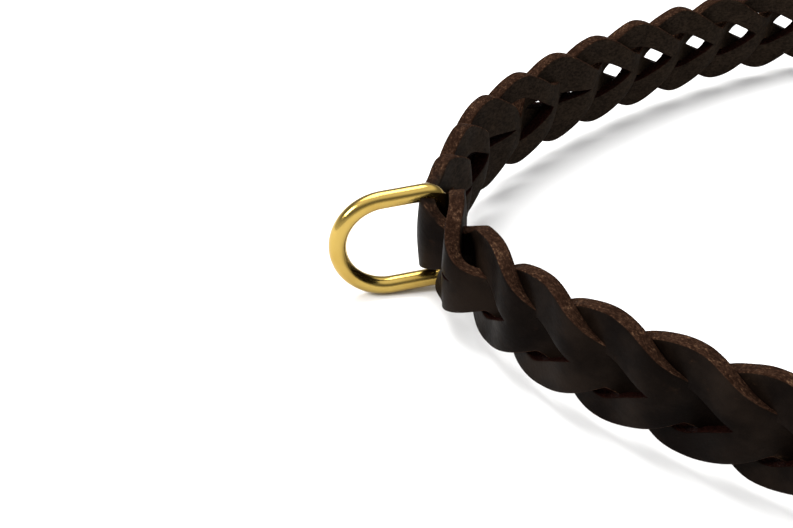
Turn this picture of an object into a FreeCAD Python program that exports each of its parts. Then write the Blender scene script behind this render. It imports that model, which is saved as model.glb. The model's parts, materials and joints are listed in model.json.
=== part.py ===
import FreeCAD, Part
import math
import os

# Martingale dog collar: a braided leather neck band standing on its edge, a D-ring caught in
# the middle of the braid, a D-ring on each end of the band, and a plain leather control loop
# that slides through both end rings and carries the leash ring.
# Frame in millimetres: +Z up, the D-ring of the braid at -X, the leash ring at +X, and the
# near half of the band at -Y. The origin is on the floor under the middle of the collar.

# Braided neck band: two straps, one through the slits of the other
BRAID_HEIGHT = 22.4       # over the tops of the lobes
STRAP_WIDTH = 13.6        # one strap, flat, as it ends inside a tab
LAYER_INNER_FACE = 0.15   # each strap's layer starts this far from the middle of the braid
LAYER_OUTER_FACE = 3.90   # and ends this far from it
TIP_RADIUS = 63.6         # bend of the band at the D-ring
TIP_SWEEP = 44.0          # degrees of turn of half the tip
SIDE_RADIUS = 211.0       # gentle bend along the neck
SIDE_SWEEP = 42.0
CORNER_SWEEP = 180.0 - TIP_SWEEP - SIDE_SWEEP
BEND_JOINT_RADIUS = 14.0  # the two halves bend about the tip from here on
BEND_JOINT_GAP = 0.4
TIP_REACH = 18.0          # tip of each strap to either side, before the bend joint trims it

# D-ring caught in the braid: nominal 16 mm
BRAID_RING_CLEAR = 16.6   # clear height inside the ring
BRAID_RING_DEPTH = 21.4   # middle of the bar to middle of the bow
BRAID_RING_WIRE = 1.85    # wire radius
BRAID_RING_BEND = 2.6     # bend where the bar meets an arm
BRAID_RING_OFFSET = 2.6   # bar outside the middle of the braid
WRAP_LEATHER = 2.9        # strap where it passes over the ring's bar
BRAID_RING_TILT = 6.1     # degrees, the bow rests on the floor
BRAID_RING_SWING = 4.8    # degrees towards the near side as it lies
RING_NOTCH_HALF = 5.8     # leather pressed down beside the ring's arms
RING_NOTCH_CLEARANCE = 0.3

# D-rings of the band's ends and the leash: nominal 22 mm
END_RING_CLEAR = 22.0
END_RING_DEPTH = 25.0
END_RING_WIRE = 1.85
END_RING_BEND = 2.4
END_RING_Y = 39.0         # bar of each end ring from the middle plane

# Running clearance of a bar in its leather eye
EYE_CLEARANCE = 0.1

# Folded leather tab that ties each end ring to the braid
TAB_LENGTH = 22.0         # from the ring's bar to the mouth
TAB_HEIGHT = 21.0
TAB_LEATHER = 2.5
TAB_GAP = 2.15            # inner face of each leg from the middle
STRAP_END_FACE = 2.1      # skived strap end inside the tab
STRAP_END_START = 5.0     # from the ring's bar
STITCH_LENGTH = 3.0
STITCH_WIDTH = 0.9
STITCH_PROUD = 0.4
STITCH_PITCH = 4.2
STITCH_COUNT = 5
STITCH_FIRST = 3.0        # middle of the first stitch from the ring's bar
STITCH_ROW = 8.7          # above and below the middle of the tab

# Two-part rivets
RIVET_HEAD = 3.5
RIVET_DOME = 1.5
RIVET_SHANK = 1.5
RIVET_HOLE = 1.6
RIVET_SOCKET = 0.9
TAB_RIVETS = (9.5, 17.5)  # from the ring's bar
PATCH_RIVET_Y = 9.6

# Control loop: a plain strap in a rounded rectangle, with a patch that holds the leash ring
LOOP_HALF_WIDTH = 23.0    # middle of the strap from the middle plane
LOOP_INSIDE = 24.0        # inner run from the end rings
LOOP_OUTSIDE = 36.0       # outer run from the end rings
LOOP_CORNER = 9.0
LOOP_STRAP = 3.5
LOOP_HEIGHT = 16.0
PATCH_HALF_LENGTH = 14.0

FLOOR_TO_MIDDLE = END_RING_CLEAR / 2 + 2 * END_RING_WIRE
LARGE = 400.0
UP = FreeCAD.Vector(0, 0, 1)
ORIGIN = FreeCAD.Vector(0, 0, 0)


def point(x, y, z=0.0):
    return FreeCAD.Vector(x, y, z)


def polar(centre, radius, degrees):
    angle = math.radians(degrees)
    return centre + point(radius * math.cos(angle), radius * math.sin(angle))


def arc_edge(centre, radius, start, end):
    middle = (start + end) / 2
    ends = [polar(centre, radius, angle) for angle in (start, middle, end)]
    return Part.Arc(*ends).toShape()


def line_edge(start, end):
    return Part.LineSegment(start, end).toShape()


def box(low, high):
    size = high - low
    return Part.makeBox(size.x, size.y, size.z, low)


def extrude_between(face, low, high):
    face.translate(point(0, 0, low))
    return face.extrude(point(0, 0, high - low))


# ---------------------------------------------------------------- the path of the band
def tangent_arcs(first_centre, first_angle, bends):
    """Arcs that follow on smoothly: a list of centre, radius, start and end angle."""
    arcs = []
    centre = first_centre
    start = first_angle
    for radius, sweep in bends:
        if arcs:
            joint = polar(arcs[-1][0], arcs[-1][1], start)
            centre = polar(joint, -radius, start)
        arcs.append((centre, radius, start, start + sweep))
        start += sweep
    return arcs


def near_arcs():
    """Tip, side and corner of the near half; the corner ends where the tab begins."""
    tip = (TIP_RADIUS, TIP_SWEEP)
    side = (SIDE_RADIUS, SIDE_SWEEP)
    first = tangent_arcs(point(TIP_RADIUS, 0), 180.0, [tip, side])
    centre, radius, _, end = first[-1]
    widest = polar(centre, radius, end)
    rise = -widest.y - END_RING_Y - TAB_LENGTH
    corner_radius = rise / math.sin(math.radians(CORNER_SWEEP))
    corner = (corner_radius, CORNER_SWEEP)
    return tangent_arcs(point(TIP_RADIUS, 0), 180.0, [tip, side, corner])


def ribbon(arcs, inner, outer, low, high):
    """A strip standing on edge along the arcs, between two distances from their line."""
    outside = [arc_edge(c, r + outer, a, b) for c, r, a, b in arcs]
    inside = [arc_edge(c, r + inner, a, b) for c, r, a, b in arcs]
    centre, radius, start, _ = arcs[0]
    head = line_edge(polar(centre, radius + inner, start), polar(centre, radius + outer, start))
    centre, radius, _, end = arcs[-1]
    tail = line_edge(polar(centre, radius + inner, end), polar(centre, radius + outer, end))
    edges = Part.__sortEdges__(outside + inside + [head, tail])
    return extrude_between(Part.Face(Part.Wire(edges)), low, high)


NEAR_ARCS = near_arcs()
RING_X = NEAR_ARCS[-1][0].x + NEAR_ARCS[-1][1]
MIDDLE_Z = FLOOR_TO_MIDDLE
LAYERS = {
    "outer": (LAYER_INNER_FACE, LAYER_OUTER_FACE),
    "inner": (-LAYER_OUTER_FACE, -LAYER_INNER_FACE),
}


def far_side(shape):
    return shape.mirror(ORIGIN, point(0, 1, 0))


# ---------------------------------------------------------------- rings
def round_bar(start, end, wire):
    run = end - start
    return Part.makeCylinder(wire, run.Length, start, run)


def round_bend(centre, radius, wire, start, end):
    """A bent wire in the XZ plane; angles in degrees run from +X towards +Z."""
    angle = math.radians(start)
    direction = point(math.cos(angle), 0, math.sin(angle))
    along = point(-math.sin(angle), 0, math.cos(angle))
    section = Part.Face(Part.Wire(Part.makeCircle(wire, centre + direction * radius, along)))
    return section.revolve(centre, point(0, -1, 0), end - start)


def d_ring(clear, depth, wire, bend):
    """A D-ring with its bar on the Z axis and its bow towards +X, centred on the origin."""
    half = clear / 2 + wire
    arm_end = depth - half
    pieces = [
        round_bar(point(0, 0, bend - half), point(0, 0, half - bend), wire),
        round_bar(point(bend, 0, half), point(arm_end, 0, half), wire),
        round_bar(point(bend, 0, -half), point(arm_end, 0, -half), wire),
        round_bend(point(bend, 0, bend - half), bend, wire, 180.0, 270.0),
        round_bend(point(bend, 0, half - bend), bend, wire, 90.0, 180.0),
        round_bend(point(arm_end, 0, 0), half, wire, -90.0, 90.0),
    ]
    return pieces[0].multiFuse(pieces[1:]).removeSplitter()


def end_ring():
    return d_ring(END_RING_CLEAR, END_RING_DEPTH, END_RING_WIRE, END_RING_BEND)


def braid_ring_centre():
    """Height at which the tilted bow just touches the floor."""
    half = BRAID_RING_CLEAR / 2 + BRAID_RING_WIRE
    droop = (BRAID_RING_DEPTH - half) * math.sin(math.radians(BRAID_RING_TILT))
    return point(-BRAID_RING_OFFSET, 0, half + BRAID_RING_WIRE + droop)


def in_braid_ring_frame(shape):
    """Tilt a shape about the bar of the ring in the braid and set it at its height."""
    shape.rotate(ORIGIN, point(0, 1, 0), -BRAID_RING_TILT)
    shape.translate(braid_ring_centre())
    return shape


def braid_ring():
    ring = d_ring(BRAID_RING_CLEAR, BRAID_RING_DEPTH, BRAID_RING_WIRE, BRAID_RING_BEND)
    ring.rotate(ORIGIN, UP, 180.0 + BRAID_RING_SWING)
    return in_braid_ring_frame(ring)


def near_end_ring():
    ring = end_ring()
    ring.rotate(ORIGIN, UP, 90.0)
    ring.translate(point(RING_X, -END_RING_Y, MIDDLE_Z))
    return ring


# ---------------------------------------------------------------- neck band
def tip_ribbon(inner, outer):
    reach = math.degrees(TIP_REACH / TIP_RADIUS)
    arcs = [(point(TIP_RADIUS, 0), TIP_RADIUS, 180.0 - reach, 180.0 + reach)]
    strip = ribbon(arcs, inner, outer, MIDDLE_Z - BRAID_HEIGHT / 2, MIDDLE_Z + BRAID_HEIGHT / 2)
    return strip.common(Part.makeCylinder(BEND_JOINT_RADIUS, LARGE, ORIGIN, UP))


def ring_seat():
    """What the ring's bar and arms press out of the leather."""
    bore = Part.makeCylinder(BRAID_RING_WIRE + EYE_CLEARANCE, LARGE, point(0, 0, -LARGE / 2), UP)
    edge = BRAID_RING_CLEAR / 2 - RING_NOTCH_CLEARANCE
    back = BRAID_RING_WIRE + EYE_CLEARANCE
    notch = box(point(-LARGE, -RING_NOTCH_HALF, edge), point(back, RING_NOTCH_HALF, LARGE))
    notches = [notch, notch.mirror(ORIGIN, UP)]
    return in_braid_ring_frame(bore.multiFuse(notches))


def tip_strap(layer):
    """The short middle of a strap; the outer one wraps over the ring's bar."""
    inner, outer = LAYERS[layer]
    strap = tip_ribbon(inner, outer)
    if layer == "outer":
        radius = BRAID_RING_WIRE + EYE_CLEARANCE + WRAP_LEATHER
        wrap = Part.makeCylinder(radius, BRAID_HEIGHT, point(0, 0, -BRAID_HEIGHT / 2), UP)
        wrap = in_braid_ring_frame(wrap).common(tip_ribbon(inner, BEND_JOINT_RADIUS))
        strap = strap.fuse(wrap)
    return strap.cut(ring_seat()).removeSplitter()


def near_strap(layer):
    """One strap's layer of the near half, with its thin end inside the tab."""
    inner, outer = LAYERS[layer]
    low = MIDDLE_Z - BRAID_HEIGHT / 2
    strap = ribbon(NEAR_ARCS, inner, outer, low, low + BRAID_HEIGHT)
    joint = Part.makeCylinder(BEND_JOINT_RADIUS + BEND_JOINT_GAP, LARGE, ORIGIN, UP)
    strap = strap.cut(joint)
    thin = STRAP_END_FACE if layer == "outer" else -STRAP_END_FACE
    gap = math.copysign(LAYER_INNER_FACE, thin)
    faces = sorted((RING_X + gap, RING_X + thin))
    mouth = -END_RING_Y - TAB_LENGTH
    low_corner = point(faces[0], mouth, MIDDLE_Z - STRAP_WIDTH / 2)
    high_corner = point(faces[1], -END_RING_Y - STRAP_END_START, MIDDLE_Z + STRAP_WIDTH / 2)
    strap = strap.fuse(box(low_corner, high_corner))
    return strap.cut(tab_rivet_holes()).removeSplitter()


def near_tab():
    """A strip folded round the ring's bar, its two legs on the faces of the braid."""
    low = MIDDLE_Z - TAB_HEIGHT / 2
    eye_centre = point(RING_X, -END_RING_Y, low)
    face = TAB_GAP + TAB_LEATHER
    eye = Part.makeCylinder(face, TAB_HEIGHT, eye_centre, UP)
    mouth = -END_RING_Y - TAB_LENGTH
    legs = box(point(RING_X - face, mouth, low), point(RING_X + face, -END_RING_Y, low + TAB_HEIGHT))
    slot = box(point(RING_X - TAB_GAP, mouth, low), point(RING_X + TAB_GAP, -END_RING_Y, LARGE))
    bore = Part.makeCylinder(END_RING_WIRE + EYE_CLEARANCE, TAB_HEIGHT, eye_centre, UP)
    tab = eye.fuse(legs).cut(slot).cut(bore)
    return tab.cut(tab_rivet_holes()).removeSplitter()


def near_stitches():
    """Thread that shows on both faces of the tab, along its upper and lower edges."""
    stitches = []
    face = TAB_GAP + TAB_LEATHER
    size = point(STITCH_PROUD, STITCH_LENGTH, STITCH_WIDTH)
    for index in range(STITCH_COUNT):
        y = -END_RING_Y - STITCH_FIRST - index * STITCH_PITCH - STITCH_LENGTH / 2
        for z in (MIDDLE_Z - STITCH_ROW, MIDDLE_Z + STITCH_ROW):
            for x in (RING_X + face, RING_X - face - STITCH_PROUD):
                low = point(x, y, z - STITCH_WIDTH / 2)
                stitches.append(box(low, low + size))
    return Part.makeCompound(stitches)


# ---------------------------------------------------------------- rivets, all along X
def dome(centre, outward):
    """A shallow domed head with its flat face at centre, rounded towards +X or -X."""
    radius = (RIVET_HEAD ** 2 + RIVET_DOME ** 2) / (2 * RIVET_DOME)
    ball = Part.makeSphere(radius, centre + point(outward * (RIVET_DOME - radius), 0, 0))
    half_space = box(point(0, -LARGE, -LARGE), point(LARGE, LARGE, LARGE))
    if outward < 0:
        half_space.translate(point(-LARGE, 0, 0))
    half_space.translate(centre)
    return ball.common(half_space)


def rivet_post(outside, inside):
    """Domed head on the outside and a shank that reaches into the cap."""
    length = outside.x - inside.x + RIVET_SOCKET - EYE_CLEARANCE
    shank = Part.makeCylinder(RIVET_SHANK, length, outside, point(-1, 0, 0))
    return dome(outside, 1).fuse(shank).removeSplitter()


def rivet_cap(inside):
    socket = Part.makeCylinder(RIVET_SHANK, RIVET_SOCKET, inside, point(-1, 0, 0))
    return dome(inside, -1).cut(socket)


def rivet_hole(outside, inside):
    return Part.makeCylinder(RIVET_HOLE, outside.x - inside.x, inside, point(1, 0, 0))


def tab_rivet_ends():
    face = TAB_GAP + TAB_LEATHER
    ends = []
    for distance in TAB_RIVETS:
        y = -END_RING_Y - distance
        ends.append((point(RING_X + face, y, MIDDLE_Z), point(RING_X - face, y, MIDDLE_Z)))
    return ends


def tab_rivet_holes():
    holes = [rivet_hole(outside, inside) for outside, inside in tab_rivet_ends()]
    return Part.makeCompound(holes)


def loop_rivet_ends():
    outside_x = RING_X + LOOP_OUTSIDE + LOOP_STRAP / 2 + TAB_LEATHER
    inside_x = RING_X + LOOP_OUTSIDE - LOOP_STRAP / 2
    sides = (-PATCH_RIVET_Y, PATCH_RIVET_Y)
    return [(point(outside_x, y, MIDDLE_Z), point(inside_x, y, MIDDLE_Z)) for y in sides]


def loop_rivet_holes():
    holes = [rivet_hole(outside, inside) for outside, inside in loop_rivet_ends()]
    return Part.makeCompound(holes)


# ---------------------------------------------------------------- control loop
def rounded_rectangle(grow):
    """Plan of the loop's line, moved outwards by grow."""
    low = point(RING_X - LOOP_INSIDE - grow, -LOOP_HALF_WIDTH - grow)
    high = point(RING_X + LOOP_OUTSIDE + grow, LOOP_HALF_WIDTH + grow)
    radius = LOOP_CORNER + grow
    centres = [
        (point(high.x - radius, high.y - radius), 0.0),
        (point(low.x + radius, high.y - radius), 90.0),
        (point(low.x + radius, low.y + radius), 180.0),
        (point(high.x - radius, low.y + radius), 270.0),
    ]
    edges = [arc_edge(centre, radius, start, start + 90.0) for centre, start in centres]
    for index, (centre, start) in enumerate(centres):
        next_centre, next_start = centres[(index + 1) % len(centres)]
        edges.append(line_edge(polar(centre, radius, start + 90.0),
                               polar(next_centre, radius, next_start)))
    return Part.Wire(Part.__sortEdges__(edges))


def control_strap():
    low = MIDDLE_Z - LOOP_HEIGHT / 2
    walls = []
    for grow in (LOOP_STRAP / 2, -LOOP_STRAP / 2):
        face = Part.Face(rounded_rectangle(grow))
        walls.append(extrude_between(face, low, low + LOOP_HEIGHT))
    return walls[0].cut(walls[1]).cut(loop_rivet_holes())


def leash_bar_x():
    return RING_X + LOOP_OUTSIDE + LOOP_STRAP / 2 + EYE_CLEARANCE + END_RING_WIRE


def ring_patch():
    """A short strap riveted to the loop, wrapped over the leash ring's bar."""
    low = MIDDLE_Z - LOOP_HEIGHT / 2
    face_x = RING_X + LOOP_OUTSIDE + LOOP_STRAP / 2
    wings = box(point(face_x, -PATCH_HALF_LENGTH, low),
                point(face_x + TAB_LEATHER, PATCH_HALF_LENGTH, low + LOOP_HEIGHT))
    bar = point(leash_bar_x(), 0, low)
    bore_radius = END_RING_WIRE + EYE_CLEARANCE
    wrap = Part.makeCylinder(bore_radius + TAB_LEATHER, LOOP_HEIGHT, bar, UP)
    outside_strap = box(point(face_x, -LARGE, 0), point(LARGE, LARGE, LARGE))
    bore = Part.makeCylinder(bore_radius, LOOP_HEIGHT, bar, UP)
    channel = box(point(face_x, -bore_radius, low), point(bar.x, bore_radius, low + LOOP_HEIGHT))
    patch = wings.fuse(wrap.common(outside_strap)).cut(bore.fuse(channel))
    return patch.cut(loop_rivet_holes()).removeSplitter()


def leash_ring():
    ring = end_ring()
    ring.translate(point(leash_bar_x(), 0, MIDDLE_Z))
    return ring


# ---------------------------------------------------------------- all pieces
def tab_rivets(make_one):
    return Part.makeCompound([make_one(*ends) for ends in tab_rivet_ends()])


def all_pieces():
    pieces = {"braid_d_ring": braid_ring()}
    for layer in LAYERS:
        pieces[layer + "_strap_tip"] = tip_strap(layer)
    near = {
        "outer_strap": near_strap("outer"),
        "inner_strap": near_strap("inner"),
        "end_tab": near_tab(),
        "tab_thread": near_stitches(),
        "rivet_posts": tab_rivets(rivet_post),
        "rivet_caps": tab_rivets(lambda outside, inside: rivet_cap(inside)),
        "end_ring": near_end_ring(),
    }
    for name, shape in near.items():
        pieces["near_" + name] = shape
        pieces["far_" + name] = far_side(shape)
    pieces["control_strap"] = control_strap()
    pieces["leash_ring_patch"] = ring_patch()
    pieces["loop_rivet_posts"] = Part.makeCompound([rivet_post(*e) for e in loop_rivet_ends()])
    pieces["loop_rivet_caps"] = Part.makeCompound([rivet_cap(e[1]) for e in loop_rivet_ends()])
    pieces["leash_ring"] = leash_ring()
    return pieces


def middle_x(pieces):
    bounds = [shape.optimalBoundingBox(False) for shape in pieces.values()]
    return (min(bound.XMin for bound in bounds) + max(bound.XMax for bound in bounds)) / 2


def main():
    os.makedirs("parts", exist_ok=True)
    pieces = all_pieces()
    shift = -middle_x(pieces)
    for name, shape in pieces.items():
        shape.translate(point(shift, 0, 0))
        shape.exportStep("parts/" + name + ".step")
        bounds = shape.optimalBoundingBox(False)
        print("%-20s valid %s solids %d volume %8.1f  x %.1f %.1f  y %.1f %.1f  z %.2f %.2f" % (
            name, shape.isValid(), len(shape.Solids), shape.Volume, bounds.XMin, bounds.XMax,
            bounds.YMin, bounds.YMax, bounds.ZMin, bounds.ZMax))
    centre = braid_ring_centre()
    print("bend joint x %.3f" % shift)
    print("braid ring bar x %.3f z %.3f" % (centre.x + shift, centre.z))
    print("end ring bars x %.3f, leash bar x %.3f" % (RING_X + shift, leash_bar_x() + shift))
    print("corner radius %.2f" % NEAR_ARCS[-1][1])


main()
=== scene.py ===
import json
import math

import bpy
import numpy as np
from mathutils import Matrix, Vector


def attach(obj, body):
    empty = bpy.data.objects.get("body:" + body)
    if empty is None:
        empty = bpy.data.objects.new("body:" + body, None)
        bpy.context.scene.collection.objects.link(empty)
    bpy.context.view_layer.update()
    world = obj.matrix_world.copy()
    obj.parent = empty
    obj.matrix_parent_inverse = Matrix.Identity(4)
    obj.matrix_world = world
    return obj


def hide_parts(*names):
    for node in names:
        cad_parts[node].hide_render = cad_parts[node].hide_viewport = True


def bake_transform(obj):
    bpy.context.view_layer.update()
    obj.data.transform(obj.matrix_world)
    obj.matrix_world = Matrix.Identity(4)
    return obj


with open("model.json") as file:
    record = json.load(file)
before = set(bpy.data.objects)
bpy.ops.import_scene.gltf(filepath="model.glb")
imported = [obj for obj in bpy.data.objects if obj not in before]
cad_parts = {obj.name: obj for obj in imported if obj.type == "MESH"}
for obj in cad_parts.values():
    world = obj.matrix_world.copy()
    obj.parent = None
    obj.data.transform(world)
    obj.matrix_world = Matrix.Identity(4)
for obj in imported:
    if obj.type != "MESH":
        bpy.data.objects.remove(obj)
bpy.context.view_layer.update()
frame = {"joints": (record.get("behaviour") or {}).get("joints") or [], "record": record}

# Everything is in metres, in the frame of the CAD model: +Z up, the D-ring of the braid at -X,
# the leash ring at +X, the near half of the band at -Y.

JOINTS = {joint["name"]: joint for joint in frame["joints"]}
BODY_OF = {node: body for body, nodes in frame["record"]["behaviour"]["bodies"].items() for node in nodes}

# ---------------------------------------------------------------- sizes
BEND_X = JOINTS["neck_close"]["pos_m"][0]      # middle of the braid at its D-ring
MIDDLE_Z = JOINTS["neck_close"]["pos_m"][2]
RING_X = JOINTS["near_ring_swing"]["pos_m"][0]
RING_Y = abs(JOINTS["near_ring_swing"]["pos_m"][1])
LEASH_BAR_X = JOINTS["leash_ring_swing"]["pos_m"][0]
BRAID_BAR = JOINTS["braid_ring_swing"]["pos_m"]
BRAID_BAR_WAY = JOINTS["braid_ring_swing"]["axis"]

# line of the band
TIP_RADIUS, TIP_SWEEP = 0.0636, math.radians(44)
SIDE_RADIUS, SIDE_SWEEP = 0.211, math.radians(42)
CORNER_SWEEP = math.pi - TIP_SWEEP - SIDE_SWEEP
TAB_LENGTH = 0.022

# braid
PITCH = 0.015            # from one crossing of the two straps to the next
FIRST_SHIFT = 0.0005     # the pattern lies this far to the near side of the D-ring
LAST_CROSSING = 16.5     # in pitches from the D-ring
FLAT_FROM = LAST_CROSSING + 0.15  # from here, in pitches, the straps flatten towards the tab
FLAT_IN_TAB = 0.004      # and they are flat this far inside it
STRAP_END_GAP = 0.005    # a strap stops this short of the end ring's bar
END_SKIVE = 0.36         # share of its thickness skived off inside the tab
END_LAYER = 0.0011       # there each strap's middle lies this far from the band's
LEATHER = 0.0030         # thickness of a strap
SLIT_OPEN = 0.0047       # half opening of a slit at a crossing
SLIT_REACH = 0.66        # half length of a slit, in pitches
SLIT_ROUND = 0.12        # how round the slit is in the middle
SLIT_SHUT = 0.00004      # a slit with less than this half opening is closed
EDGE_TOP = 0.0112        # half height of a strap at its own crossing
EDGE_BASE = 0.0033       # and where it is gathered in the other's slit, on the near half
EDGE_SHARP = 0.75        # how fast it narrows towards there
FAR_EDGE_BASE = 0.0028   # the far half is drawn tighter
FAR_EDGE_SHARP = 0.88
SLIT_SWING = 0.0023      # the slit's edge swings this far out and in
EDGE_SWING = 0.0017      # and the raw edge this far, so a strap's face is rounded outwards
DIVE = 0.37              # a strap stays on one face and then dives steeply into the slit
FAR_DIVE = 0.22
DIVE_LEVEL = 0.4         # takes the swing back as the dive grows, so its height stays alike
FACE_CURVE = 1.5         # a strap's face curves from the slit to the raw edge with this power
RAW_CORNER = 0.00040     # rounding of the outer cut edge
SLIT_CORNER = 0.00022    # rounding of the slit's cut edge
SLIT_CORNER_OPEN = 0.0006  # half opening from which that rounding is whole
SLIT_LOW = 0.0016        # an open slit sags this far below the middle on the near half
SLIT_LOW_LEAST = 0.0001  # and a closed one this far
FAR_SLIT_LIFT = 0.0002   # the far slits lie this far above it
SAG_SPAN = (0.006, 0.016)  # both begin between these distances from the D-ring
FAR_SPAN = 0.02          # what differs on the far half sets in over this distance
FAR_SLIT_REACH = 0.75    # the far slits are longer and rounder
FAR_SLIT_ROUND = 0.30
# single crossings: share of the usual opening, and how far the strap through it lies low
UNEVEN_CROSSINGS = {-4: (0.26, -0.0014), -3: (1.15, 0.0024), -2: (0.25, 0.0)}
SINK_FROM = 0.6          # in pitches from the strap's own crossing
STRAP_END_HALF = 0.0068  # half height of a strap flat inside a tab
RING_SEAT_HALF = 0.0083  # leather between the arms of the D-ring
RING_BULGE_OUT = 0.0043  # the straps stand out round the ring's bar
RING_BULGE_IN = 0.0013
RING_BULGE_LEG = 0.0030  # the first leaf beside it stands out over the crossing strap
RING_LIP = 0.0026        # and the lower edge of that leaf turns out past the ring's arm
RING_LEAF_FALL = 0.50    # while its upper edge falls early, by this share
RING_SNUG = 0.0195       # slits nearer than this to the D-ring are drawn shut
RING_REACH = 0.0095      # the bar is felt this far along the leather
LEG_SPAN = (0.015, 0.006)    # where that leaf's bulge, lip and fall lie on the near half:
LIP_SPAN = (0.006, 0.0045)   # distance from the D-ring and half width
FALL_SPAN = (0.019, 0.0055)
NOTCH_SPAN = {1: 0.0052, -1: 0.0036}  # notches for the ring's arms, above and below
BAR_SHADE_SHARE = 0.8            # share of the pale raw edge painted dark beside the D-ring's bar, as painted shade from its arms
BEND_SPAN = (0.010, 0.045)   # where the leather would bend as the band closes; braid() turns them into points on the band and uses them no further
STEP = 0.00055           # spacing of the mesh rows along a strap

# handmade unevenness: spacing along the leather and largest size
EDGE_UNEVEN = (0.004, 0.00012)
FACE_UNEVEN = (0.011, 0.00012)
STRIP_UNEVEN = (0.005, 0.00008)

# rings
RING_WIRE = 0.00185
BRAID_RING = dict(clear=0.0166, depth=0.0214, bend=0.0026)
END_RING = dict(clear=0.022, depth=0.025, bend=0.0024)
BRAID_RING_SWING = math.radians(4.8)
WIRE_AROUND = 28         # mesh points round a wire or a rivet head

# plain leather
TAB_HALF_HEIGHT = 0.0105
TAB_LEATHER = 0.0025
TAB_GAP = 0.00215
LOOP_HALF_HEIGHT = 0.008
LOOP_LEATHER = 0.0035
LOOP_HALF_WIDTH = 0.023
LOOP_INSIDE, LOOP_OUTSIDE = 0.024, 0.036
LOOP_CORNER = 0.009
PATCH_HALF_LENGTH = 0.014
PATCH_FILLET = 0.0012    # where the patch leaves the loop and goes over the bar
PATCH_GAP = 0.00005
EYE_CLEARANCE = 0.0001
TAB_END_ROUND, PATCH_END_ROUND = 0.0028, 0.003
STRIP_EDGE, LOOP_EDGE = 0.0006, 0.0008  # rounding of the long edges
STRIP_STEP = 0.0006      # spacing of the mesh rows along a strip
STRIP_SWELL = 0.00012    # its faces are this much fuller in the middle
FINE_ARC, WIDE_ARC = 0.0003, 0.0005  # spacing of the points of tight and of wider arcs

# thread: distances from the end ring's bar, half distance of the rows, and one stitch
STITCHES = 5
STITCH_FIRST, STITCH_PITCH = 0.0042, 0.0036
STITCH_ROW = 0.0087
STITCH_HALF_LENGTH = 0.0016
STITCH_RADIUS = 0.00042
STITCH_TAPER, STITCH_FLAT = 0.25, 0.8
STITCH_SLANT = 0.00018
STITCH_LIFT = 0.00022
STITCH_DIP, STITCH_DIP_FROM = 0.0008, 0.72
STITCH_RINGS, STITCH_AROUND = 9, 8

# rivets: a head's section as (radius, height), and where they sit
RIVET_PROFILE = (
    (0.0, 0.0015), (0.0008, 0.00146), (0.0016, 0.00128), (0.0023, 0.00098),
    (0.0028, 0.0007), (0.00305, 0.00058), (0.0033, 0.00052), (0.00348, 0.00034),
    (0.0035, 0.00016), (0.0034, 0.00002), (0.0029, -0.00005), (0.0, -0.00005),
)
TAB_RIVETS = (0.0095, 0.0175)      # from the end ring's bar
PATCH_RIVETS = (-0.0096, 0.0096)

# camera: millimetres, place from the braid's middle at its D-ring, radians down and to the left
CAMERA_LENS, CAMERA_SENSOR = 57.45, 36
CAMERA_PLACE = (-0.03041, -0.21645, 0.13403)
CAMERA_DOWN, CAMERA_LEFT = 0.5808, -0.0858

# light: name, place, aim, size and power
LAMPS = (
    ("key", (-0.3, 0.3, 0.9), (-0.05, 0, 0), 0.6, 9),
    ("left", (-0.75, -0.15, 0.45), (-0.12, 0, 0), 0.25, 5),
)
# a soft studio: pale walls at the floor, grey above them, a wide bright ceiling
ROOM_SHADES = ((0.12, 0.60), (0.30, 0.16), (0.52, 0.22), (0.85, 1.0))
ROOM_STRENGTH = 1.6
FLOOR_HALF = 3

CRAFT = np.random.default_rng(7)


def smooth(edge0, edge1, value):
    t = np.clip((value - edge0) / (edge1 - edge0), 0.0, 1.0)
    return t * t * (3 - 2 * t)


def bell(value, middle, width, power=2):
    """One in the middle, fading to nothing on both sides; a higher power makes it flatter."""
    return np.exp(-((value - middle) / width) ** power)


def between(near, far, share):
    return near + (far - near) * share


def circle(count):
    """Cosine and sine of evenly spaced angles."""
    angles = [2 * math.pi * k / count for k in range(count)]
    return [(math.cos(a), math.sin(a)) for a in angles]


def unevenness(spacing, amount):
    """Slow handmade unevenness along a length, as a function of the distance along it."""
    reach = 0.32         # longer than any piece from its own zero
    knots = np.arange(-reach, reach + spacing, spacing)
    values = CRAFT.uniform(-amount, amount, len(knots))

    def at(positions):
        place = (positions - knots[0]) / spacing
        index = np.clip(place.astype(int), 0, len(knots) - 2)
        part = smooth(0.0, 1.0, place - index)
        return values[index] * (1 - part) + values[index + 1] * part

    return at


# ---------------------------------------------------------------- the line of the band
def tangent_arcs():
    """Tip, side and corner as (centre, radius, first angle, first distance), near half."""
    centre = np.array([BEND_X + TIP_RADIUS, 0.0])
    angle, travelled, arcs = math.pi, 0.0, []
    bends = ((TIP_RADIUS, TIP_SWEEP), (SIDE_RADIUS, SIDE_SWEEP), (None, CORNER_SWEEP))
    for radius, sweep in bends:
        if arcs:
            last_centre, last_radius = arcs[-1][:2]
            way = np.array([math.cos(angle), math.sin(angle)])
            joint = last_centre + last_radius * way
            if radius is None:
                radius = (-joint[1] - RING_Y - TAB_LENGTH) / math.sin(CORNER_SWEEP)
            centre = joint - radius * way
        arcs.append((centre, radius, angle, travelled))
        angle += sweep
        travelled += radius * sweep
    return arcs, travelled


ARCS, MOUTH_S = tangent_arcs()


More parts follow.
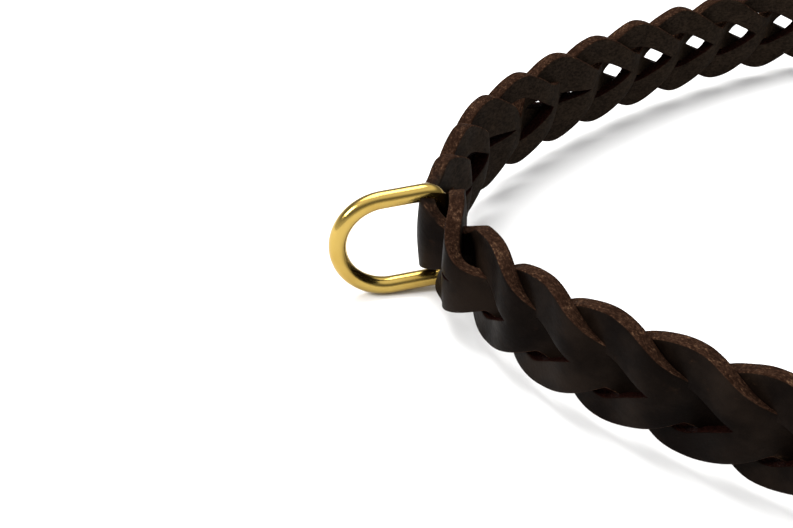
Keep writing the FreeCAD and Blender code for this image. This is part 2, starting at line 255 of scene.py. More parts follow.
def band_line(s):
    """Plan position and outward normal at distance s from the D-ring, near side positive."""
    distance = np.abs(s)
    side = np.where(s < 0, -1.0, 1.0)
    x = np.full_like(distance, RING_X)
    y = -(RING_Y + TAB_LENGTH) + (distance - MOUTH_S)
    nx, ny = np.ones_like(distance), np.zeros_like(distance)
    for index, (centre, radius, first, start) in enumerate(ARCS):
        end = ARCS[index + 1][3] if index + 1 < len(ARCS) else MOUTH_S
        here = (distance >= start) & (distance < end)
        angle = first + (distance[here] - start) / radius
        nx[here], ny[here] = np.cos(angle), np.sin(angle)
        x[here] = centre[0] + radius * nx[here]
        y[here] = centre[1] + radius * ny[here]
    return x, y * side, nx, ny * side


def on_band(s, up, out):
    """World points from distances along, above and outside the middle of the band."""
    x, y, nx, ny = band_line(s)
    return np.stack([x + nx * out, y + ny * out, MIDDLE_Z + up], axis=-1)


# ---------------------------------------------------------------- mesh helpers
def mesh_object(name, vertices, faces, smooth_faces=True):
    mesh = bpy.data.meshes.new(name)
    mesh.from_pydata([tuple(v) for v in vertices], [], faces)
    mesh.validate()
    mesh.update()
    if smooth_faces:
        mesh.polygons.foreach_set("use_smooth", [True] * len(mesh.polygons))
    obj = bpy.data.objects.new(name, mesh)
    bpy.context.scene.collection.objects.link(obj)
    return obj


def stand_for(obj, node):
    """Shows a piece in place of a rigid CAD node and moves it with that node's body."""
    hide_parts(node)
    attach(obj, BODY_OF[node])


def point_attribute(obj, name, values):
    layer = obj.data.attributes.new(name, "FLOAT", "POINT")
    layer.data.foreach_set("value", np.asarray(values, dtype=np.float32))


def vector_attribute(obj, name, values):
    layer = obj.data.attributes.new(name, "FLOAT_VECTOR", "POINT")
    layer.data.foreach_set("vector", np.asarray(values, dtype=np.float32).ravel())


def tidy_faces(faces):
    """Drops repeated corners, and faces that they leave without an area."""
    kept = []
    for face in faces:
        corners = [c for i, c in enumerate(face) if c != face[i - 1]]
        if len(set(corners)) >= 3:
            kept.append(tuple(corners))
    return kept


def used_only(vertices, faces, *columns):
    """Drops vertices that no face uses, and the same rows of each column."""
    used = np.unique(np.concatenate([np.array(f) for f in faces]))
    place = np.full(len(vertices), -1)
    place[used] = np.arange(len(used))
    renumbered = [tuple(int(place[c]) for c in face) for face in faces]
    return vertices[used], renumbered, [column[used] for column in columns]


def tube_faces(rows, ring, closed):
    """Faces of a tube whose vertices come row by row."""
    faces = []
    for i in range(rows if closed else rows - 1):
        j = (i + 1) % rows
        for k in range(ring):
            n = (k + 1) % ring
            faces.append((i * ring + k, j * ring + k, j * ring + n, i * ring + n))
    return faces


# ---------------------------------------------------------------- braided straps
def leg_outline(turn=3, across=8, through=4):
    """Points round the section of one leg of a strap, beside its slit.

    Each is (kind, a, b); section_points turns the two numbers into a place.
    """
    quarter = [math.radians(90) * i / turn for i in range(turn + 1)]
    outline = []
    outline += [("slit_top", math.sin(a), math.cos(a)) for a in quarter]
    outline += [("top", i / across, 0) for i in range(1, across)]
    outline += [("raw_top", math.sin(a), math.cos(a)) for a in quarter]
    outline += [("raw", i / through, 0) for i in range(1, through)]
    outline += [("raw_low", math.cos(a), math.sin(a)) for a in quarter]
    outline += [("low", 1 - i / across, 0) for i in range(1, across)]
    outline += [("slit_low", math.sin(a), math.cos(a)) for a in quarter]
    outline += [("slit", 1 - i / through, 0) for i in range(1, through)]
    return outline


OUTLINE = leg_outline()
KINDS = [kind for kind, _, _ in OUTLINE]
SLIT_KINDS = ("slit_top", "slit_low", "slit")


def section_points(width, thick, slit_corner, raw_corner):
    """Distance across and height in the leather of each outline point, row by row."""
    half = thick / 2
    face = width - slit_corner - raw_corner
    across, height = [], []
    for kind, a, b in OUTLINE:
        if kind == "slit_top":
            w, h = slit_corner * (1 - b), half - slit_corner * (1 - a)
        elif kind == "top":
            w, h = slit_corner + a * face, half
        elif kind == "raw_top":
            w, h = width - raw_corner * (1 - a), half - raw_corner * (1 - b)
        elif kind == "raw":
            w, h = width, (half - raw_corner) * (1 - 2 * a)
        elif kind == "raw_low":
            w, h = width - raw_corner * (1 - a), -half + raw_corner * (1 - b)
        elif kind == "low":
            w, h = slit_corner + a * face, -half
        elif kind == "slit_low":
            w, h = slit_corner * (1 - a), -half + slit_corner * (1 - b)
        else:
            w, h = 0 * width, -(half - slit_corner) * (2 * a - 1)
        across.append(w + 0 * half)
        height.append(h + 0 * width)
    return np.stack(across, axis=1), np.stack(height, axis=1)


def strap_profile(s, first_crossing, outside):
    """How a strap runs: half heights and swings of the slit's edge and of the raw edge.

    Also how far the strap is on its way into the tab, and how far it lies below its usual height.
    """
    u = np.mod(s - first_crossing + PITCH, 2 * PITCH) - PITCH
    x = np.abs(u) / PITCH
    braided = np.abs(s - u) < FLAT_FROM * PITCH
    ending = smooth(FLAT_FROM * PITCH, MOUTH_S + FLAT_IN_TAB, np.abs(s))
    far = smooth(0.0, FAR_SPAN, -s)
    dive = between(DIVE, FAR_DIVE, far)
    base = between(EDGE_BASE, FAR_EDGE_BASE, far)
    sharp = between(EDGE_SHARP, FAR_EDGE_SHARP, far)
    turn = np.pi * u / PITCH
    wave = (np.sin(turn) - dive * np.sin(2 * np.pi * u / PITCH)) / (1 + DIVE_LEVEL * dive)
    round_end = between(SLIT_ROUND, FAR_SLIT_ROUND, far)
    rounded = np.sqrt(x * x + round_end ** 2) - round_end
    reach = between(SLIT_REACH, FAR_SLIT_REACH, far)
    slit = SLIT_OPEN * np.clip(1 - rounded / (reach - round_end), 0, 1) * braided
    edge = base + (EDGE_TOP - base) * np.cos(np.minimum(sharp * np.pi / 2 * x, np.pi / 2)) ** 2
    edge = edge * (1 - ending) + STRAP_END_HALF * ending
    slit = slit * (1 - bell(s, 0, RING_SNUG, 4))
    crossing = np.round((s - u - FIRST_SHIFT) / PITCH + 0.5)
    nearest = np.round((s - FIRST_SHIFT) / PITCH + 0.5)
    sink = 0 * s
    for number, (share, drop) in UNEVEN_CROSSINGS.items():
        slit = np.where(crossing == number, slit * share, slit)
        sink = np.where(nearest == number, drop * smooth(SINK_FROM, 1.0, x), sink)
    slit = np.where(slit < SLIT_SHUT, 0.0, slit)
    bulge = bell(s, 0, RING_REACH) * (RING_BULGE_OUT if outside else RING_BULGE_IN)
    if not outside:
        bulge = bulge + RING_BULGE_LEG * bell(s, *LEG_SPAN)
    rest = END_LAYER if outside else -END_LAYER
    slit_out = SLIT_SWING * wave * (1 - ending) + bulge + rest * ending
    edge_out = EDGE_SWING * wave * (1 - ending) + bulge + rest * ending
    return slit, edge, slit_out, edge_out, ending, sink


def leg(s, profile, sign, outside, uneven):
    """Points of the leg above (1) or below (-1) the slit, and their places in the leather."""
    slit, edge, slit_out, edge_out, ending, sink = profile
    thick = LEATHER * (1 - END_SKIVE * ending)
    slit_corner = SLIT_CORNER * smooth(0.0, SLIT_CORNER_OPEN, slit)
    sag = SLIT_LOW * slit / SLIT_OPEN + SLIT_LOW_LEAST
    drop = np.where(s > 0, -sag, FAR_SLIT_LIFT) * smooth(*SAG_SPAN, np.abs(s)) * (1 - ending)
    low = slit + sign * drop
    notch = bell(s, 0, NOTCH_SPAN[sign], 4) if outside else 0 * s
    high = edge * (1 - notch) + np.minimum(edge, RING_SEAT_HALF) * notch
    if not outside and sign > 0:
        high = high * (1 - RING_LEAF_FALL * bell(s, *FALL_SPAN))
    high = high + uneven["edge"][sign](s)
    lip = RING_LIP * bell(s, *LIP_SPAN) if not outside and sign < 0 else 0 * s
    turn = edge_out + lip - slit_out
    tall = high - low
    across, height = section_points(tall, thick, slit_corner, RAW_CORNER + 0 * s)

    # the middle of the leather, w being the share of the way from the slit to the raw edge
    w = np.clip(across / tall[:, None], 0, 1)
    curve = w ** FACE_CURVE
    middle_n = slit_out[:, None] + turn[:, None] * curve + uneven["face"](s)[:, None]
    middle_v = low[:, None] + tall[:, None] * w

    # its normal, from the slopes along the strap and across the leg
    ds = np.gradient(s)[:, None]
    rise = np.gradient(low)[:, None] + np.gradient(tall)[:, None] * w
    swing = np.gradient(slit_out)[:, None] + np.gradient(turn)[:, None] * curve
    slope_v, slope_n = rise / ds, swing / ds
    width_v = tall[:, None] + 0 * w
    width_n = turn[:, None] * FACE_CURVE * w ** (FACE_CURVE - 1)
    normal = np.stack([slope_v * width_n - slope_n * width_v, -width_n, width_v], axis=-1)
    normal /= np.linalg.norm(normal, axis=-1, keepdims=True)

    along = s[:, None] + normal[..., 0] * height
    above = middle_v + normal[..., 1] * height
    outward = middle_n + normal[..., 2] * height
    points = on_band(along, sign * above - sink[:, None], outward)
    v = low[:, None] + across
    place = np.stack([s[:, None] + 0 * v, sign * v, height], axis=-1)
    return points.reshape(-1, 3), place.reshape(-1, 3)


def strap_faces(joined):
    """Faces of both legs, upper rows first, and the four loops of corners round the cut ends.

    Where the slit is shut, the two legs share their inner corners and have no wall between them.
    """
    count, ring = len(joined), len(OUTLINE)
    upper = np.arange(count * ring).reshape(count, ring)
    lower = upper + count * ring
    top = KINDS.index("slit_top")
    low_end = max(i for i, kind in enumerate(KINDS) if kind == "slit_low")
    for i in np.nonzero(joined)[0]:
        for k, kind in enumerate(KINDS):
            if kind == "slit_top":
                upper[i, k] = upper[i, top]
            elif kind == "slit_low":
                upper[i, k] = upper[i, low_end]
            if kind in SLIT_KINDS:
                lower[i, k] = upper[i, k]
    faces = []
    for i in range(count - 1):
        both = joined[i] and joined[i + 1]
        for k in range(ring):
            n = (k + 1) % ring
            if both and KINDS[k] in SLIT_KINDS and KINDS[n] in SLIT_KINDS:
                continue
            faces.append((upper[i, k], upper[i, n], upper[i + 1, n], upper[i + 1, k]))
            faces.append((lower[i, k], lower[i + 1, k], lower[i + 1, n], lower[i, n]))
    return faces, (upper[0][::-1], lower[0], upper[-1], lower[-1][::-1])


def cut_amount(kind, a, edge):
    """How much of the cut surface shows at an outline point of the raw or the slit edge."""
    if not kind.startswith(edge):
        return 0.0
    if kind == edge:
        return 1.0
    return 1.0 - a if kind == "slit_top" else a


def strap(name, first_crossing, start, end, outside, uneven):
    """One strap of the braid from start to end, as a closed mesh with real slits."""
    count = int(round((end - start) / STEP)) + 1
    s = np.linspace(start, end, count)
    profile = strap_profile(s, first_crossing, outside)
    joined = profile[0] <= 0
    legs = [leg(s, profile, sign, outside, uneven) for sign in (1, -1)]
    vertices = np.concatenate([points for points, _ in legs])
    places = np.concatenate([place for _, place in legs])
    faces, ends = strap_faces(joined)

    # how raw, how freshly cut and how fleshy each point is
    raw = np.array([cut_amount(kind, a, "raw") for kind, a, _ in OUTLINE])
    cut = np.array([cut_amount(kind, a, "slit") for kind, a, _ in OUTLINE])
    # painted shade: the outer strap's raw edge is painted dark near the D-ring's bar, where the ring's
    # arms shade it
    bar_shade = bell(s, 0, RING_REACH, 4) if outside else 0 * s
    raw_all = np.tile((raw[None, :] * (1 - BAR_SHADE_SHARE * bar_shade[:, None])).ravel(), 2)
    cut_all = np.tile((cut[None, :] * (1 - joined[:, None])).ravel(), 2)
    flesh = np.array([1.0 if kind in ("low", "raw_low", "slit_low") else 0.0 for kind in KINDS])
    flesh_all = np.tile(flesh, 2 * count + len(ends))

    # the cut ends have corners of their own, so that they stay sharp
    ring = len(OUTLINE)
    for number in range(len(ends)):
        faces.append(tuple(len(vertices) + number * ring + k for k in range(ring)))
    originals = np.concatenate(ends)
    vertices, places, raw_all, cut_all = [np.concatenate([column, column[originals]])
                                          for column in (vertices, places, raw_all, cut_all)]
    faces = tidy_faces([tuple(int(c) for c in face) for face in faces])
    vertices, faces, columns = used_only(vertices, faces, raw_all, cut_all, flesh_all, places)
    obj = mesh_object(name, vertices, faces)
    for label, column in zip(("raw_edge", "slit_edge", "flesh_side"), columns):
        point_attribute(obj, label, column)
    vector_attribute(obj, "place", columns[-1])
    return obj


def braid():
    """Both straps, each cut where it is hidden inside the other's slit beside the D-ring."""
    stop = MOUTH_S + TAB_LENGTH - STRAP_END_GAP
    pieces = []
    for layer, first in (("outer", -PITCH / 2 + FIRST_SHIFT), ("inner", PITCH / 2 + FIRST_SHIFT)):
        outside = layer == "outer"
        cut = first + PITCH if outside else first - PITCH
        uneven = {"edge": {1: unevenness(*EDGE_UNEVEN), -1: unevenness(*EDGE_UNEVEN)},
                  "face": unevenness(*FACE_UNEVEN)}
        near = strap("braid_%s_near" % layer, first, cut, stop, outside, uneven)
        far = strap("braid_%s_far" % layer, first, -stop, cut, outside, uneven)
        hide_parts("near_%s_strap" % layer)
        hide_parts("far_%s_strap" % layer, "%s_strap_tip" % layer)
        pieces += [(near, "near_half"), (far, "far_half")]
    for piece, half in pieces:
        side = 1 if half == "near_half" else -1
        bend = on_band(side * np.array(BEND_SPAN), np.zeros(2), np.zeros(2))
        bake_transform(piece)
    return [piece for piece, _ in pieces]


# ---------------------------------------------------------------- plain leather strips
def arc_points(centre, radius, start, end, spacing):
    """Plan points of an arc, both ends included; angles in degrees."""
    count = max(2, int(abs(math.radians(end - start)) * radius / spacing) + 1)
    angles = np.radians(np.linspace(start, end, count))
    return np.stack([centre[0] + radius * np.cos(angles), centre[1] + radius * np.sin(angles)], axis=1)


def even_path(pieces, spacing, closed):
    """Joins plan pieces into one path and spaces its points evenly."""
    points = np.concatenate(pieces)
    if closed:
        points = np.concatenate([points, points[:1]])
    steps = np.linalg.norm(np.diff(points, axis=0), axis=1)
    keep = np.concatenate([[True], steps > 1e-7])
    points = points[keep]
    travelled = np.concatenate([[0], np.cumsum(np.linalg.norm(np.diff(points, axis=0), axis=1))])
    count = int(round(travelled[-1] / spacing))
    stations = np.linspace(0, travelled[-1], count + 1)
    if closed:
        stations = stations[:-1]
    path = np.stack([np.interp(stations, travelled, points[:, i]) for i in (0, 1)], axis=1)
    return path, stations


def path_normals(path, closed):
    """Unit normals of a flat path, to the right of its direction."""
    if closed:
        forward = np.roll(path, -1, axis=0) - np.roll(path, 1, axis=0)
    else:
        forward = np.gradient(path, axis=0)
    forward /= np.linalg.norm(forward, axis=1, keepdims=True)
    return np.stack([forward[:, 1], -forward[:, 0]], axis=1)


def strip_outline(turn=4, across=9):
    """Points round a strip's section as (out, up, quarter); the quarter is None on its faces."""
    outline = []
    for quarter in range(4):
        for i in range(turn + 1):
            angle = math.radians(90) * i / turn + math.radians(90) * quarter
            outline.append((math.cos(angle), math.sin(angle), quarter))
        if quarter in (1, 3):
            side = -1 if quarter == 1 else 1
            outline += [(side, side * (2 * i / across - 1), None) for i in range(1, across)]
    return outline


def strip(name, pieces, half_height, leather, end_round=0.0, closed=False, corner=STRIP_EDGE):
    """A leather strip standing on edge along a plan path, with rounded edges and ends."""
    path, stations = even_path(pieces, STRIP_STEP, closed)
    normal = path_normals(path, closed)
    tall = np.full(len(path), half_height)
    if end_round > 0:
        inset = np.minimum(stations, stations[-1] - stations)
        lack = np.clip(end_round - inset, 0, end_round)
        tall = half_height - end_round + np.sqrt(np.maximum(end_round ** 2 - lack ** 2, 0))
    if not closed:
        tall = tall + unevenness(*STRIP_UNEVEN)(stations)
    half = leather / 2
    outline = strip_outline()
    count, ring = len(path), len(outline)
    vertices = np.zeros((count, ring, 3))
    edge = np.zeros((count, ring))
    place = np.zeros((count, ring, 3))
    for k, (a, b, quarter) in enumerate(outline):
        if quarter is None:
            n = a * (half + STRIP_SWELL * (1 - b * b))
            z = b * (tall - corner)
            worn = 0.0
        else:
            side_n = 1 if quarter in (0, 3) else -1
            side_z = 1 if quarter in (0, 1) else -1
            n = side_n * (half - corner) + a * corner
            z = side_z * (tall - corner) + b * corner
            worn = abs(b)
        vertices[:, k, :2] = path + normal * n
        vertices[:, k, 2] = MIDDLE_Z + z
        edge[:, k] = worn
        place[:, k] = np.stack([stations, z + 0 * stations, n + 0 * stations], axis=1)
    faces = tube_faces(count, ring, closed)
    if not closed:
        faces.append(tuple(range(ring)))
        faces.append(tuple((count - 1) * ring + k for k in range(ring))[::-1])
        edge[0], edge[-1] = 1, 1
    obj = mesh_object(name, vertices.reshape(-1, 3), faces)
    point_attribute(obj, "raw_edge", edge.ravel())
    point_attribute(obj, "slit_edge", 0 * edge.ravel())
    vector_attribute(obj, "place", place.reshape(-1, 3))
    return obj


def mirrored(pieces, side):
    return [piece * np.array([1, side]) for piece in pieces]


def tab(half, side):
    """A strip folded round the end ring's bar, its legs on the faces of the braid."""
    radius = TAB_GAP + TAB_LEATHER / 2
    mouth = -RING_Y - TAB_LENGTH
    pieces = [
        np.array([[RING_X + radius, mouth]]),
        arc_points((RING_X, -RING_Y), radius, 0, 180, FINE_ARC),
        np.array([[RING_X - radius, mouth]]),
    ]
    obj = strip("tab_" + half, mirrored(pieces, side), TAB_HALF_HEIGHT, TAB_LEATHER, TAB_END_ROUND)
    stand_for(obj, half + "_end_tab")
    return obj


def control_strap():
    """The closed loop of leather through both end rings."""
    low_x, high_x = RING_X - LOOP_INSIDE, RING_X + LOOP_OUTSIDE
    r, wide = LOOP_CORNER, LOOP_HALF_WIDTH
    centres = ((high_x - r, wide - r), (low_x + r, wide - r),
               (low_x + r, -wide + r), (high_x - r, -wide + r))
    pieces = [arc_points(centre, r, 90 * i, 90 * (i + 1), WIDE_ARC) for i, centre in enumerate(centres)]
    obj = strip("control_loop_strap", pieces, LOOP_HALF_HEIGHT, LOOP_LEATHER,
                closed=True, corner=LOOP_EDGE)
    stand_for(obj, "control_strap")
    return obj


def ring_patch():
    """A short strap riveted to the loop and bent over the leash ring's bar."""
    face = RING_X + LOOP_OUTSIDE + LOOP_LEATHER / 2 + TAB_LEATHER / 2 + PATCH_GAP
    radius = RING_WIRE + EYE_CLEARANCE + TAB_LEATHER / 2
    fillet = PATCH_FILLET
    reach = math.sqrt((radius + fillet) ** 2 - (LEASH_BAR_X - face - fillet) ** 2)
    angle = math.degrees(math.asin((LEASH_BAR_X - face - fillet) / (radius + fillet)))
    low_fillet = arc_points((face + fillet, -reach), fillet, 180, 90 - angle, FINE_ARC)
    high_fillet = arc_points((face + fillet, reach), fillet, angle - 90, -180, FINE_ARC)
    over = arc_points((LEASH_BAR_X, 0), radius, -90 - angle, 90 + angle, FINE_ARC)
    pieces = [np.array([[face, -PATCH_HALF_LENGTH]]), low_fillet, over, high_fillet,
              np.array([[face, PATCH_HALF_LENGTH]])]
    obj = strip("ring_patch_strap", pieces, LOOP_HALF_HEIGHT, TAB_LEATHER, PATCH_END_ROUND)
    stand_for(obj, "leash_ring_patch")
    return obj


# ---------------------------------------------------------------- thread
def stitch_rows(half, side):
    """Short slanted stitches along the upper and lower edge of both faces of a tab."""
    face = TAB_GAP + TAB_LEATHER
    around = STITCH_AROUND
    vertices, faces = [], []
    seats = [(-RING_Y - STITCH_FIRST - index * STITCH_PITCH, z, out)
             for index in range(STITCHES) for z in (-STITCH_ROW, STITCH_ROW) for out in (1, -1)]
    for middle, z, out in seats:
        base = len(vertices)
        for t in np.linspace(-1, 1, STITCH_RINGS):
            thick = STITCH_RADIUS * (1 - STITCH_TAPER * t ** 4)
            dip = max(0.0, abs(t) - STITCH_DIP_FROM) / (1 - STITCH_DIP_FROM)
            lift = STITCH_LIFT - STITCH_DIP * dip
            x = RING_X + out * (face + lift)
            y = middle + t * STITCH_HALF_LENGTH
            up = z + STITCH_SLANT * t * out
            for c, s in circle(around):
                vertices.append((x + thick * c * STITCH_FLAT, side * y, MIDDLE_Z + up + thick * s))
        faces += [tuple(base + c for c in f) for f in tube_faces(STITCH_RINGS, around, False)]
        faces.append(tuple(base + k for k in range(around))[::-1])
        faces.append(tuple(base + (STITCH_RINGS - 1) * around + k for k in range(around)))
    obj = mesh_object("stitches_" + half, vertices, faces)
    stand_for(obj, half + "_tab_thread")
    return obj


# ---------------------------------------------------------------- metal
def ring_line(clear, depth, bend):
    """Middle line of a D-ring: bar on the Z axis, bow towards +X, as points in the XZ plane."""
    half = clear / 2 + RING_WIRE
    arm_end = depth - half
    bow = arc_points((arm_end, 0), half, -90, 90, WIDE_ARC)
    top = arc_points((bend, half - bend), bend, 90, 180, FINE_ARC)
    bottom = arc_points((bend, bend - half), bend, 180, 270, FINE_ARC)
    path, _ = even_path([bow, top, bottom], WIDE_ARC, True)
    return path


def d_ring(name, node, size, place):
    """A D-ring of round wire on its middle line."""
    line = ring_line(**size)
    vertices = []
    for (x, z), (nx, nz) in zip(line, path_normals(line, True)):
        for c, s in circle(WIRE_AROUND):
            out = RING_WIRE * c
            vertices.append(place @ Vector((x + nx * out, RING_WIRE * s, z + nz * out)))
    obj = mesh_object(name, vertices, tube_faces(len(line), WIRE_AROUND, True))
    stand_for(obj, node)
    return obj


def rings():
    bar_way = Vector(BRAID_BAR_WAY)
    tilt = Matrix.Rotation(math.atan2(bar_way.x, bar_way.z), 4, "Y")
    swung = Matrix.Rotation(math.pi + BRAID_RING_SWING, 4, "Z")
    made = [d_ring("ring_in_braid", "braid_d_ring", BRAID_RING,
                   Matrix.Translation(BRAID_BAR) @ tilt @ swung)]
    for half, side in (("near", -1), ("far", 1)):
        place = Matrix.Translation((RING_X, side * RING_Y, MIDDLE_Z))
        place = place @ Matrix.Rotation(-side * math.pi / 2, 4, "Z")
        made.append(d_ring("ring_" + half, half + "_end_ring", END_RING, place))
    place = Matrix.Translation((LEASH_BAR_X, 0, MIDDLE_Z))
    made.append(d_ring("ring_leash", "leash_ring", END_RING, place))
    return made


def rivet_heads(name, node, seats):
    """Domed heads with a rolled rim; seats are (x, y, direction along X)."""
    vertices, faces = [], []
    for x, y, out in seats:
        base = len(vertices)
        for radius, lift in RIVET_PROFILE:
            for c, s in circle(WIRE_AROUND):
                vertices.append((x + out * lift, y + radius * c, MIDDLE_Z + radius * s))
        head = tube_faces(len(RIVET_PROFILE), WIRE_AROUND, False)
        faces += [tuple(base + corner for corner in face) for face in head]
    obj = mesh_object(name, vertices, faces)
    stand_for(obj, node)
    return obj


def rivets():
    made = []
    face = TAB_GAP + TAB_LEATHER
    for half, side in (("near", -1), ("far", 1)):
        ys = [side * (RING_Y + d) for d in TAB_RIVETS]
        made.append(rivet_heads("rivets_%s_front" % half, half + "_rivet_posts",
                                [(RING_X + face, y, 1) for y in ys]))
        made.append(rivet_heads("rivets_%s_back" % half, half + "_rivet_caps",
                                [(RING_X - face, y, -1) for y in ys]))
    outside = RING_X + LOOP_OUTSIDE + LOOP_LEATHER / 2 + TAB_LEATHER
    inside = RING_X + LOOP_OUTSIDE - LOOP_LEATHER / 2
    made.append(rivet_heads("rivets_loop_front", "loop_rivet_posts",
                            [(outside, y, 1) for y in PATCH_RIVETS]))
    made.append(rivet_heads("rivets_loop_back", "loop_rivet_caps",
                            [(inside, y, -1) for y in PATCH_RIVETS]))
    return made


# ---------------------------------------------------------------- materials
class Shader:
    """A principled material with a few short ways to add texture nodes."""

    def __init__(self, name, **settings):
        self.material = bpy.data.materials.new(name)
        self.material.use_nodes = True
        self.tree = self.material.node_tree
        self.surface = self.tree.nodes["Principled BSDF"]
        for key, value in settings.items():
            self.surface.inputs[key.replace("_", " ")].default_value = value

    def node(self, kind, **sockets):
        made = self.tree.nodes.new("ShaderNode" + kind)
        for key, value in sockets.items():
            self.join(value, made.inputs[key.replace("_", " ")])
        return made

    def join(self, value, socket):
        if isinstance(value, bpy.types.NodeSocket):
            self.tree.links.new(value, socket)
        else:
            socket.default_value = value

    def attribute(self, name, output="Fac"):
        made = self.node("Attribute")
        made.attribute_name = name
        return made.outputs[output]

    def scaled(self, vector, scale):
        made = self.tree.nodes.new("ShaderNodeMapping")
        self.join(vector, made.inputs["Vector"])
        made.inputs["Scale"].default_value = scale
        return made.outputs["Vector"]

    def noise(self, vector, scale, detail=3.0, rough=0.5):
        made = self.node("TexNoise", Vector=vector, Scale=scale, Detail=detail, Roughness=rough)
        return made.outputs["Fac"]

    def cells(self, vector, scale):
        made = self.node("TexVoronoi", Vector=vector, Scale=scale)
        return made.outputs["Distance"]

    def band(self, value, low, high, to_low=0.0, to_high=1.0):
        made = self.tree.nodes.new("ShaderNodeMapRange")
        made.interpolation_type = "SMOOTHSTEP"
        for index, part in enumerate((value, low, high, to_low, to_high)):
            self.join(part, made.inputs[index])
        return made.outputs[0]

    def math(self, operation, a, b):
        made = self.tree.nodes.new("ShaderNodeMath")
        made.operation = operation
        self.join(a, made.inputs[0])
        self.join(b, made.inputs[1])
        return made.outputs[0]

    def mix(self, factor, a, b):
        made = self.tree.nodes.new("ShaderNodeMix")
        made.data_type = "RGBA"
        for value, socket in ((factor, 0), (a, 6), (b, 7)):
            self.join(value, made.inputs[socket])
        return made.outputs[2]

    def bump(self, height, strength, distance, normal=None):
        made = self.node("Bump", Strength=strength, Distance=distance, Height=height)
        if normal is not None:
            self.join(normal, made.inputs["Normal"])
        return made.outputs["Normal"]

    def set(self, name, value):
        self.join(value, self.surface.inputs[name])


def color(r, g, b):
    return (r, g, b, 1.0)


def toned(tint, shares):
    """A colour with each channel taken to a share of itself."""
    return tuple(channel * share for channel, share in zip(tint, shares)) + (1.0,)


def leather(name, dark, light, raw_dark, raw_light, raw_tip, shaded_slit_color, flesh_dark, flesh_light):
    """Greased leather: smooth dark grain faces, matt flesh side, fibrous paler raw edges, and slit edges
    darkened with painted shade.
    """
    m = Shader(name, Specular_IOR_Level=0.015)
    place = m.attribute("place", "Vector")
    raw, cut = m.attribute("raw_edge"), m.attribute("slit_edge")
    flesh = m.attribute("flesh_side")
    # scale, detail and roughness of what mottles the leather, from clouds to single fibres
    cloud = m.noise(place, 70.0, 4.0, 0.6)
    speck = m.noise(place, 1400.0, 3.0, 0.6)
    patches = m.noise(place, 320.0, 3.0, 0.6)
    along_leather = (0.6, 1.0, 1.0)
    fibre = m.noise(m.scaled(place, along_leather), 2300.0, 4.0, 0.7)
    fuzz = m.math("ADD", m.math("MULTIPLY", fibre, 0.75), m.math("MULTIPLY", patches, 0.25))

    face = m.mix(m.band(cloud, 0.38, 0.70), dark, light)
    face = m.mix(m.band(speck, 0.60, 0.78, 0.0, 0.30), face, light)
    face = m.mix(flesh, face, m.mix(m.band(fuzz, 0.36, 0.64), flesh_dark, flesh_light))
    raw_color = m.mix(m.band(fuzz, 0.40, 0.66), raw_dark, raw_light)
    raw_color = m.mix(m.band(fuzz, 0.56, 0.66, 0.0, 0.8), raw_color, raw_tip)
    # painted shade: the slit's cut edge is painted much darker than the raw edge, standing in for the
    # shade inside the slit
    shaded_slit_dark = toned(shaded_slit_color, (0.35, 0.3, 0.3))
    shaded_slit_mix = m.mix(m.band(fuzz, 0.42, 0.62), shaded_slit_dark, shaded_slit_color)

    # the paler raw edge is torn a little by the patches, the slit's edge is not
    torn = m.math("MULTIPLY", m.math("SUBTRACT", patches, 0.5), 0.7)
    raw_amount = m.band(m.math("ADD", raw, torn), 0.08, 0.46)
    slit_amount = m.band(cut, 0.25, 0.75)
    m.set("Base Color", m.mix(slit_amount, m.mix(raw_amount, face, raw_color), shaded_slit_mix))

    open_cut = m.math("MAXIMUM", raw_amount, slit_amount)
    smear = m.band(m.noise(place, 160.0, 4.0, 0.6), 0.3, 0.7, 0.36, 0.52)
    matt = m.math("MAXIMUM", open_cut, m.math("MULTIPLY", flesh, 0.7))
    m.set("Roughness", m.math("ADD", smear, m.math("MULTIPLY", matt, 0.38)))

    grain = m.bump(m.cells(place, 1500.0), 0.16, 0.00012)
    crease = m.bump(m.noise(place, 420.0, 4.0, 0.6), 0.22, 0.0003, grain)
    m.set("Normal", m.bump(fuzz, m.math("MULTIPLY", open_cut, 0.9), 0.0006, crease))
    return m.material


def brass(name, tint, roughness):
    """Tumbled brass: soft unevenness, a little darker and duller in patches."""
    m = Shader(name, Metallic=1.0)
    where = m.node("TexCoord").outputs["Object"]
    soft = m.noise(where, 90.0, 4.0, 0.6)
    fine = m.noise(where, 1800.0, 3.0, 0.6)
    aged = toned(tint, (0.78, 0.68, 0.50))
    m.set("Base Color", m.mix(m.band(soft, 0.42, 0.75, 0.0, 0.6), tint, aged))
    m.set("Roughness", m.band(soft, 0.3, 0.75, roughness, roughness + 0.12))
    peened = m.bump(m.noise(where, 300.0, 2.0, 0.5), 0.10, 0.0004)
    m.set("Normal", m.bump(fine, 0.06, 0.00005, peened))
    return m.material


def thread(name):
    """Dark waxed thread with its twist."""
    m = Shader(name, Roughness=0.5, Specular_IOR_Level=0.3)
    where = m.node("TexCoord").outputs["Object"]
    twist = m.tree.nodes.new("ShaderNodeTexWave")
    m.join(m.scaled(where, (1.0, 1.0, 0.6)), twist.inputs["Vector"])
    twist.bands_direction = "DIAGONAL"
    twist.inputs["Scale"].default_value = 620.0
    m.set("Base Color", m.mix(twist.outputs["Fac"], color(0.018, 0.010, 0.007), color(0.06, 0.035, 0.022)))
    m.set("Normal", m.bump(twist.outputs["Fac"], 0.5, 0.0002))
    return m.material


def floor_material():
    m = Shader("floor", Roughness=0.7)
    where = m.node("TexCoord").outputs["Object"]
    m.set("Base Color", m.mix(m.noise(where, 2.0), color(0.86, 0.86, 0.855), color(0.89, 0.885, 0.88)))
    return m.material


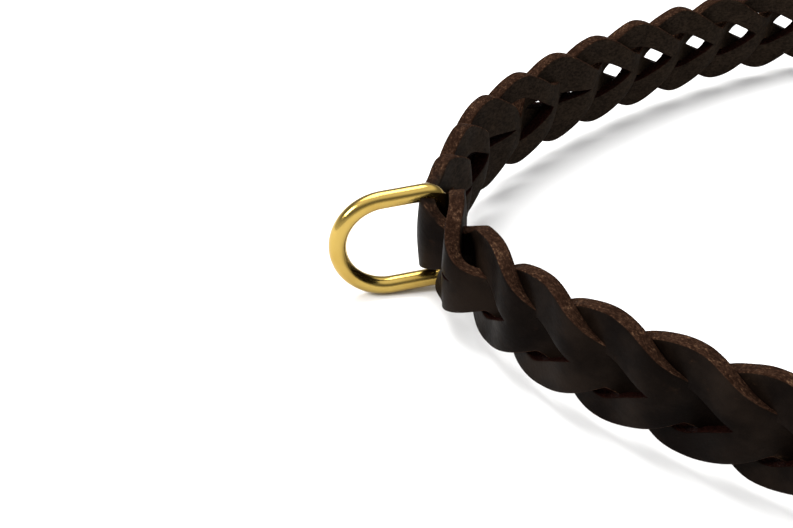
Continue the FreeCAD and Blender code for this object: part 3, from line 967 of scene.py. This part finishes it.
# ---------------------------------------------------------------- floor, light and camera
def stage():
    """A plain pale floor in a soft studio room."""
    corners = [(x * FLOOR_HALF, y * FLOOR_HALF, 0) for x, y in ((-1, -1), (1, -1), (1, 1), (-1, 1))]
    floor = mesh_object("floor", corners, [(0, 1, 2, 3)], False)
    floor.data.materials.append(floor_material())
    world = bpy.context.scene.world or bpy.data.worlds.new("world")
    bpy.context.scene.world = world
    world.use_nodes = True
    nodes, links = world.node_tree.nodes, world.node_tree.links
    background = nodes["Background"]
    height = nodes.new("ShaderNodeSeparateXYZ")
    links.new(nodes.new("ShaderNodeTexCoord").outputs["Generated"], height.inputs[0])
    ramp = nodes.new("ShaderNodeValToRGB")
    ramp.color_ramp.interpolation = "EASE"
    links.new(height.outputs["Z"], ramp.inputs["Fac"])
    stops = ramp.color_ramp.elements
    stops.remove(stops[-1])
    for index, (place, shade) in enumerate(ROOM_SHADES):
        stop = stops.new(place) if index else stops[0]
        stop.position = place
        stop.color = color(shade, shade, shade)
    links.new(ramp.outputs["Color"], background.inputs["Color"])
    background.inputs["Strength"].default_value = ROOM_STRENGTH
    bpy.context.scene.view_settings.view_transform = "Standard"


def area_light(name, location, target, size, power):
    data = bpy.data.lights.new(name, "AREA")
    data.size = size
    data.energy = power
    light = bpy.data.objects.new(name, data)
    bpy.context.scene.collection.objects.link(light)
    light.location = location
    light.rotation_euler = (Vector(target) - Vector(location)).to_track_quat("-Z", "Y").to_euler()


def camera():
    data = bpy.data.cameras.new("camera")
    data.lens = CAMERA_LENS
    data.sensor_width = CAMERA_SENSOR
    obj = bpy.data.objects.new("camera", data)
    bpy.context.scene.collection.objects.link(obj)
    x, y, z = CAMERA_PLACE
    obj.location = (BEND_X + x, y, MIDDLE_Z + z)
    obj.rotation_euler = (math.pi / 2 - CAMERA_DOWN, 0, CAMERA_LEFT)
    bpy.context.scene.camera = obj


def build_pieces():
    """Builds every piece and gives it its material."""
    flesh = dict(flesh_dark=color(0.0060, 0.0038, 0.0024), flesh_light=color(0.0200, 0.0135, 0.0090))
    # the slit colours below are painted shade, darker than the raw edge for the shade inside the slit
    braided = leather(
        "braid_leather", dark=color(0.0022, 0.0012, 0.0008), light=color(0.0090, 0.0056, 0.0038),
        raw_dark=color(0.012, 0.0052, 0.0028), raw_light=color(0.042, 0.0205, 0.0120),
        raw_tip=color(0.115, 0.064, 0.034), shaded_slit_color=color(0.014, 0.0040, 0.0026), **flesh)
    plain = leather(
        "plain_leather", dark=color(0.0028, 0.0018, 0.0013), light=color(0.0090, 0.0057, 0.0042),
        raw_dark=color(0.006, 0.0038, 0.0030), raw_light=color(0.014, 0.0078, 0.0052),
        raw_tip=color(0.020, 0.0110, 0.0070), shaded_slit_color=color(0.02, 0.008, 0.004), **flesh)
    ring_metal = brass("ring_brass", color(0.40, 0.275, 0.070), 0.14)
    rivet_metal = brass("rivet_brass", color(0.42, 0.29, 0.080), 0.18)
    made = [(braid(), braided), ([control_strap(), ring_patch()], plain)]
    for half, side in (("near", 1), ("far", -1)):
        made.append(([tab(half, side)], plain))
        made.append(([stitch_rows(half, side)], thread("waxed_thread_" + half)))
    made += [(rings(), ring_metal), (rivets(), rivet_metal)]
    for objects, material in made:
        for obj in objects:
            obj.data.materials.append(material)


build_pieces()
stage()
for lamp in LAMPS:
    area_light(*lamp)
camera()
